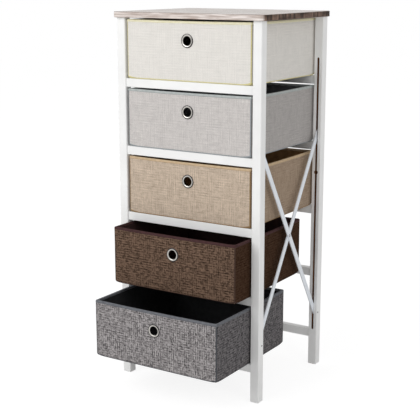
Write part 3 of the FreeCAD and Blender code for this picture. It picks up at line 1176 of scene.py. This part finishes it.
def settle(made):
    """Turns a piece and its modifiers into a plain mesh."""
    graph = bpy.context.evaluated_depsgraph_get()
    mesh = bpy.data.meshes.new_from_object(made.evaluated_get(graph))
    made.modifiers.clear()
    made.data = mesh
    mesh.name = made.name
    return made


def thicken(made, thickness):
    """Gives a cloth sheet its thickness, away from its good side."""
    solid = made.modifiers.new("thickness", "SOLIDIFY")
    solid.thickness = thickness
    solid.offset = -1.0
    return settle(made)


print("covers and linings are", in_mm([cloth_thickness, lining_thickness]), "mm thick")


# %% Where the bins stand
def bin_place(tier):
    """Where the middle of a bin's underside stands."""
    low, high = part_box(f"drawer_{tier}_binding")
    return Vector(((low.x + high.x) / 2, (low.y + high.y) / 2, low.z))


def put_in_place(made, tier):
    """Moves a piece's mesh from the bin's own frame to where that bin stands."""
    made.data.transform(Matrix.Translation(bin_place(tier)))
    return made


print("heights of the bins", in_mm(bin_place(tier).z for tier in bin_looks), "mm")

# %% [markdown]
# ## Covers and linings
# A cover is linen outside, and a lining is felt inside, with the boards between them. Both have four
# walls, a finger hole and a bottom. The bottom could be one face with many corners, but then it would
# shade badly, so rings of faces lead in from its border to a small one in the middle. The lining shows
# its good side to the inside, so its faces are turned round.

# %% A whole layer
bottom_edge_radius = 2.5 * mm
least_edge_radius = 1.5 * mm
bottom_shares = [0.965, 0.6, 0.25]


def add_bottom(points, faces, face_maps, border):
    """Closes a layer by rings of faces from its lowest row in to the middle of the bottom."""
    count = len(border)
    border_points = [points[i] for i in border]
    bottom = []
    for share in bottom_shares:
        inner = list(range(len(points), len(points) + count))
        points += [Vector((p.x * share, p.y * share, p.z)) for p in border_points]
        for i in range(count):
            j = (i + 1) % count
            bottom.append([border[i], inner[i], inner[j], border[j]])
        border = inner
    bottom.append(border[::-1])
    faces += bottom
    face_maps += [[(points[i].x, points[i].y) for i in face] for face in bottom]


def bin_layer(name, inset, material, seed, inside_out=False):
    """One cloth layer of a bin: walls with a finger hole, bottom edge and bottom."""
    edge_radius = max(bottom_edge_radius - inset, least_edge_radius)
    grid, maps = layer_grid(inset, cloth_top, edge_radius, seed)
    points = [place for row in grid for place in row]
    lowest_row = list(range(len(points) - len(stations), len(points)))
    faces, face_maps = walk_faces(maps, len(grid), beside_hole)
    add_finger_hole(points, faces, face_maps, maps, inset, seed)
    add_bottom(points, faces, face_maps, lowest_row)
    if inside_out:
        faces = [face[::-1] for face in faces]
        face_maps = [face_map[::-1] for face_map in face_maps]
    return finish_mesh(name, points, faces, face_maps, material)


covers = {}
linings = {}
for tier in bin_looks:
    covers[tier] = bin_layer(f"bin_{tier}_cover", tape_thickness, linens[tier], tier)
    put_in_place(thicken(covers[tier], cloth_thickness), tier)
    linings[tier] = bin_layer(f"bin_{tier}_lining", wall_thickness, felts[tier], tier, inside_out=True)
    put_in_place(thicken(linings[tier], lining_thickness), tier)
print("covers of", len(covers[1].data.polygons), "faces, linings of", len(linings[1].data.polygons))

# %% [markdown]
# ## Edge tape
# Raw cloth edges are bound with tape. This one covers the upright edges and the bottom edge of a bin.
# It could be a strip that is wrapped onto the cover, but the strip is already there: it is the part of
# a layer's grid that lies on the corners and round the bottom. So the same grid is built on top of the
# cover, and only those faces are kept.

# %% Edge tape
rim_tape_width = 6.5 * mm
tape_tuck = 0.4 * mm
turn_step = quarter_turn / corner_steps


def under_edge_tape(row, column):
    """Whether a face lies on the bottom edge, or on a corner's round without its first and last step."""
    station = stations[column]
    on_round = turn_step / 2 < station.turn < quarter_turn - 1.5 * turn_step
    return row > wall_row_count or (on_corner(station) and on_round)


def edge_tape(name, material, seed):
    """Tape down the upright edges and round the bottom edge of a bin."""
    top = bin_size.z - rim_tape_width + tape_tuck
    grid, maps = layer_grid(0.0, top, bottom_edge_radius, seed)
    points = [place for row in grid for place in row]
    faces, face_maps = walk_faces(maps[:-1], len(grid), under_edge_tape)
    return thicken(finish_mesh(name, points, faces, face_maps, material), tape_thickness)


tape_columns = [column for column in range(len(stations)) if under_edge_tape(0, column)]
print("edge tape over", len(tape_columns), "of", len(stations), "columns")

# %% [markdown]
# ## Rim tape
# The rim is bound with a tape that is folded over it like an upside-down U. A flat band with a
# thickness would have a sharp fold, so the tape's section is drawn instead, with its soft bulges, and
# carried round the walk. One half of the section is given, as depth into the wall and height from the
# rim in millimetres, and the other half is its mirror image.

# %% Section of the rim tape
rim_outside = [(0.05, -6.5), (-0.15, -5.2), (-0.2, -3.2), (0.05, -1.4), (0.7, -0.4), (1.7, 0.0)]
rim_under = [(0.55, -6.4), (0.6, -1.5), (1.1, -0.7)]
rim_width = wall_thickness + tape_thickness


def rim_profile():
    """The tape's section as depth and height from the rim: up inside, down outside, and back under."""
    outside = [(depth * mm, drop * mm) for depth, drop in rim_outside]
    under = [(depth * mm, drop * mm) for depth, drop in rim_under]
    inside = [(rim_width - depth, drop) for depth, drop in outside]
    under_inside = [(rim_width - depth, drop) for depth, drop in under]
    return inside + outside[::-1] + under + under_inside[::-1]


rim_section = rim_profile()
print("rim section of", len(rim_section), "points")


# %% Bind the bins
def rim_tape(name, material, seed):
    """Tape folded over the rim of a bin."""
    points = []
    for depth, drop in rim_section:
        radius = corner_round(max(0.0, depth))
        points += [cloth_place(s, depth, bin_size.z + drop, radius, seed) for s in stations]
    across = [0.0]
    for first, second in zip(rim_section, rim_section[1:] + rim_section[:1]):
        across.append(across[-1] + math.dist(first, second))
    maps = [[(station.run, v) for station in stations] for v in across]
    faces, face_maps = walk_faces(maps, len(rim_section))
    return finish_mesh(name, points, faces, face_maps, material)


rim_tapes = {}
edge_tapes = {}
for tier in bin_looks:
    rim_tapes[tier] = put_in_place(rim_tape(f"bin_{tier}_rim_tape", rim_ribbons[tier], tier), tier)
    edge_tapes[tier] = put_in_place(edge_tape(f"bin_{tier}_edge_tape", edge_ribbons[tier], tier), tier)
tape_faces = [len(tape.data.polygons) for tape in (rim_tapes[1], edge_tapes[1])]
print("rim tapes and edge tapes of", tape_faces, "faces")

# %% [markdown]
# ## Trees that make geometry
# A sewing machine lays the same short stitch again and again, and a lathe turns one section round an
# axis. Python loops could do both, but Geometry Nodes is made for it, and its trees keep their sizes as
# named inputs that can be changed later. A tree here takes a chain of points, and ends in real faces
# with one material, because copies that are only instances are lost in an export.

# %% Trees with named inputs
shape_socket = "NodeSocketGeometry"
length_socket = "NodeSocketFloat"
count_socket = "NodeSocketInt"
finish_socket = "NodeSocketMaterial"


def new_tree(name, sockets):
    """A Geometry Nodes tree with named inputs, and its input and output nodes."""
    tree = bpy.data.node_groups.new(name, "GeometryNodeTree")
    tree.interface.new_socket("Geometry", in_out="INPUT", socket_type=shape_socket)
    for label, kind in sockets.items():
        tree.interface.new_socket(label, in_out="INPUT", socket_type=kind)
    tree.interface.new_socket("Geometry", in_out="OUTPUT", socket_type=shape_socket)
    return tree, tree.nodes.new("NodeGroupInput").outputs, tree.nodes.new("NodeGroupOutput")


def end_tree(tree, result, geometry, material):
    """Ends a tree: smooth faces, real meshes and one material."""
    smooth = add_node(tree, "GeometryNodeSetShadeSmooth", {"Geometry": geometry}).outputs[0]
    real = add_node(tree, "GeometryNodeRealizeInstances", {"Geometry": smooth}).outputs[0]
    painted = add_node(tree, "GeometryNodeSetMaterial", {"Geometry": real, "Material": material}).outputs[0]
    tree.links.new(painted, result.inputs[0])


print("kinds of input:", length_socket, count_socket, finish_socket)

# %% [markdown]
# ## Stitches
# The rim tape is held by one row of stitches outside and one inside. Each stitch is a short bead of
# polyester thread that dips into the tape at both ends. The tree walks the sewing line at an even
# step, puts one small bead at each step, turns it along the line, and makes some beads a little longer
# than others. A bead has few faces, because there are hundreds of them.

# %% A tree that sews
bead_sides = 6
bead_rings = 4
least_stitch = 0.85
longest_stitch = 1.1


def sewing_tree():
    """Beads of thread along a chain of points."""
    kinds = {"Stitch step": length_socket, "Stitch length": length_socket, "Thread width": length_socket,
             "Seed": count_socket, "Thread": finish_socket}
    tree, given, result = new_tree("sewing", kinds)
    line = add_node(tree, "GeometryNodeMeshToCurve", {"Mesh": given["Geometry"]}).outputs[0]
    inputs = {"Curve": line, "Length": given["Stitch step"]}
    steps = add_node(tree, "GeometryNodeResampleCurve", inputs, mode="LENGTH").outputs[0]
    inputs = {"Segments": bead_sides, "Rings": bead_rings, "Radius": 0.5}
    bead = add_node(tree, "GeometryNodeMeshUVSphere", inputs).outputs[0]
    tangent = add_node(tree, "GeometryNodeInputTangent").outputs[0]
    turned = add_node(tree, "FunctionNodeAlignRotationToVector", {"Vector": tangent}, axis="X").outputs[0]
    inputs = {2: least_stitch, 3: longest_stitch, "Seed": given["Seed"]}
    vary = add_node(tree, "FunctionNodeRandomValue", inputs).outputs[1]
    length = calculate(tree, "MULTIPLY", given["Stitch length"], vary)
    width = given["Thread width"]
    size = add_node(tree, "ShaderNodeCombineXYZ", {0: length, 1: width, 2: width}).outputs[0]
    inputs = {"Points": steps, "Instance": bead, "Rotation": turned, "Scale": size}
    beads = add_node(tree, "GeometryNodeInstanceOnPoints", inputs).outputs[0]
    end_tree(tree, result, beads, given["Thread"])
    return tree


sewing = sewing_tree()
print("sewing tree of", len(sewing.nodes), "nodes")

# %% Lines to sew along
thread_lift = 0.2 * mm
rim_line_drop = 4.9 * mm


def sewing_lines(seed):
    """Closed chains of points round the rim, outside and inside."""
    rim = bin_size.z - rim_line_drop
    outside = [cloth_place(s, -thread_lift, rim, corner_radius, seed) for s in stations]
    inner = rim_width + thread_lift
    inside = [cloth_place(s, inner, rim, corner_round(inner), seed) for s in stations]
    return [outside + outside[:1], inside + inside[:1]]


def line_piece(name, lines):
    """An object whose edges are chains of points."""
    points = []
    edges = []
    for line in lines:
        edges += [(len(points) + i, len(points) + i + 1) for i in range(len(line) - 1)]
        points += line
    mesh = bpy.data.meshes.new(name)
    mesh.from_pydata(points, edges, [])
    return link_mesh(name, mesh)


print("sewing lines of", [len(line) for line in sewing_lines(seed=1)], "points")

# %% Sew the bins
stitch_sizes = {"Stitch step": 3.4 * mm, "Stitch length": 2.6 * mm, "Thread width": 0.5 * mm}
twist_scale = 1500.0
twist_shade = 0.8


def run_tree(made, tree, values):
    """Puts a tree on a piece, sets its named inputs, and keeps what it makes as a plain mesh."""
    modifier = made.modifiers.new(tree.name, "NODES")
    modifier.node_group = tree
    for item in tree.interface.items_tree:
        if item.in_out == "INPUT" and item.name in values:
            modifier[item.identifier] = values[item.name]
    return settle(made)


def sewing_thread(name, code):
    """Polyester thread, a little glossier than the tape it sews."""
    material, tree, shader = new_material(name)
    twist = stretched_noise(tree, object_place(tree), even(twist_scale), detail=1.0)
    tone = colour(code)
    dim = [twist_shade * x for x in tone[:3]] + [1.0]
    set_surface(tree, shader, Base_Color=mix_colour(tree, twist, dim, tone), Roughness=0.6)
    return material


stitches = {}
for tier, look in bin_looks.items():
    thread = sewing_thread(f"thread_{tier}", look["rim"][1])
    stitches[tier] = line_piece(f"bin_{tier}_stitches", sewing_lines(tier))
    run_tree(stitches[tier], sewing, {**stitch_sizes, "Seed": tier, "Thread": thread})
    put_in_place(stitches[tier], tier)
print("stitches of", len(stitches[1].data.polygons), "faces")

# %% [markdown]
# ## Finger rings
# A finger ring is a pressed eyelet: a rounded flange outside, a short barrel through the wall and a
# rolled edge inside. It could be put together from tori and tubes, but they would meet in sharp lines.
# So its whole section is drawn once, as distance from the ring's axis and depth into the wall, and a
# second tree carries it round a circle.

# %% Section of a finger ring
flange_radius = 18.0 * mm
bore_radius = 11.75 * mm
barrel_radius = 12.75 * mm
roll_radius = 16.0 * mm
ring_depth = wall_thickness - tape_thickness
flange_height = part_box("drawer_1_cover")[0].y - ring_low.y
roll_height = ring_high.y - ring_low.y - flange_height - ring_depth
bore_edge = 0.5 * mm
flange_steps = 14
roll_steps = 8


def arch(first, last, height, base, steps):
    """Points of a half ellipse between two radii, that rises from a base depth."""
    middle = (first + last) / 2
    reach = (first - last) / 2
    return [(middle + reach * math.cos(a), base + height * math.sin(a)) for a in spread(0, math.pi, steps)]


ring_front = arch(bore_radius, flange_radius, bore_edge - flange_height, -bore_edge, flange_steps)
ring_back = [(flange_radius - bore_edge, 0.0), (barrel_radius, 0.0), (barrel_radius, ring_depth)]
ring_roll = arch(roll_radius, bore_radius, roll_height, ring_depth, roll_steps)
ring_section = ring_front + ring_back + ring_roll
print("ring section of", len(ring_section), "points")

# %% [markdown]
# ## Chrome
# Polished chrome has no colour of its own and mirrors what stands round it. In an all-white studio it
# would turn all white, while a real ring also mirrors dark things, and shows a bright line near its
# crest on a darker round. Dark screens beside the dresser could do that, but other pieces would mirror
# them too. So the dark reflections are painted: each point of the section has a share of bright
# reflection, 1 near the crest, and elsewhere the metal's colour is a painted dark reflection.

# %% Chrome
crest_share = 0.38
crest_reach = 0.2
mark_scale = (300.0, 300.0, 90.0)
chrome_roughness = (0.08, 0.2)
# painted dark reflection: the metal's colour away from the crest, as if it mirrored dark things
painted_dark_reflection = colour("1C1C20")
chrome_dim = colour("B0ACA6")
chrome_bright = colour("D6D2CC")


def chrome():
    """Chrome with a painted dark reflection away from a bright band near the crest, and faint wiping marks.
    """
    material, tree, shader = new_material("ring_chrome")
    marks = stretched_noise(tree, object_place(tree), mark_scale, detail=2.0)
    painted_reflection = add_node(tree, "ShaderNodeAttribute", attribute_name="painted_reflection").outputs["Fac"]
    tone = mix_colour(tree, painted_reflection, painted_dark_reflection, mix_colour(tree, marks, chrome_dim, chrome_bright))
    roughness = wander(tree, marks, *chrome_roughness)
    set_surface(tree, shader, Base_Color=tone, Metallic=1.0, Roughness=roughness)
    return material


def ring_line(name):
    """The ring's section as a chain of points, each with its share of the bright band that the painted dark
    reflection leaves.
    """
    points = [Vector((radius - barrel_radius, depth, 0)) for radius, depth in ring_section]
    made = line_piece(name, [points + points[:1]])
    painted_reflection = made.data.attributes.new("painted_reflection", "FLOAT", "POINT")
    for i in range(len(ring_front)):
        # painted reflection share: 1 in a band near the crest, falling to 0 away from it
        from_crest = (i / flange_steps - crest_share) / crest_reach
        painted_reflection.data[i].value = math.exp(-from_crest ** 2)
    return made


ring_finish = chrome()
print("chrome of", len(ring_finish.node_tree.nodes), "nodes")

# %% Turn the rings
ring_segments = 56


def turning_tree():
    """A section carried round a circle."""
    kinds = {"Turning radius": length_socket, "Steps": count_socket, "Finish": finish_socket}
    tree, given, result = new_tree("turning", kinds)
    section = add_node(tree, "GeometryNodeMeshToCurve", {"Mesh": given["Geometry"]}).outputs[0]
    inputs = {"Resolution": given["Steps"], "Radius": given["Turning radius"]}
    circle = add_node(tree, "GeometryNodeCurvePrimitiveCircle", inputs).outputs[0]
    inputs = {"Curve": circle, "Profile Curve": section}
    ring = add_node(tree, "GeometryNodeCurveToMesh", inputs).outputs[0]
    end_tree(tree, result, ring, given["Finish"])
    return tree


turning = turning_tree()
ring_sizes = {"Turning radius": barrel_radius, "Steps": ring_segments, "Finish": ring_finish}
rings = {}
for tier in bin_looks:
    rings[tier] = run_tree(ring_line(f"bin_{tier}_finger_ring"), turning, ring_sizes)
    low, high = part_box(f"drawer_{tier}_eyelet")
    centre = ((low.x + high.x) / 2, low.y + flange_height, (low.z + high.z) / 2)
    rings[tier].data.transform(Matrix.Translation(centre) @ Matrix.Rotation(quarter_turn, 4, "X"))
print("rings of", len(rings[1].data.polygons), "faces")

# %% [markdown]
# ## What moves with what
# Every piece of a bin rides on that bin's body, so it slides with it. The pieces could be made
# children of the CAD objects, but a body is what the joints move. The modelled cloth stands for the CAD
# solids of the same layers. Covers and linings are sheets with a flat cut: a cross of a bottom and four
# walls, cut from a rectangle, with tapes and stitches as what is sewn on.

# %% Flat cuts
def layer_cut(inset):
    """The rectangle that a layer is cut from, and the cloth in it without the four corners."""
    width = bin_size.x - 2 * inset
    depth = bin_size.y - 2 * inset
    height = cloth_top - inset
    return (width + 2 * height, depth + 2 * height), 2 * (width + depth) * height + width * depth


print("a cover is cut from", in_mm(layer_cut(tape_thickness)[0]), "mm of cloth")


for tier, look in bin_looks.items():
    cover_slot, tape_slot, lining_slot = look["slots"]
    sewn_on = [rim_tapes[tier], edge_tapes[tier], stitches[tier]]
    piece_slots = [(covers[tier], cover_slot), (linings[tier], lining_slot), (rings[tier], "eyelet_chrome")]
    for piece, slot in piece_slots + [(sewn, tape_slot) for sewn in sewn_on]:
        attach(piece, f"drawer_{tier}")
    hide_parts(f"drawer_{tier}_cover")
    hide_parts(f"drawer_{tier}_lining")
    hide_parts(f"drawer_{tier}_binding")
    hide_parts(f"drawer_{tier}_eyelet")
print("declared", len(covers) + len(linings), "sheets")
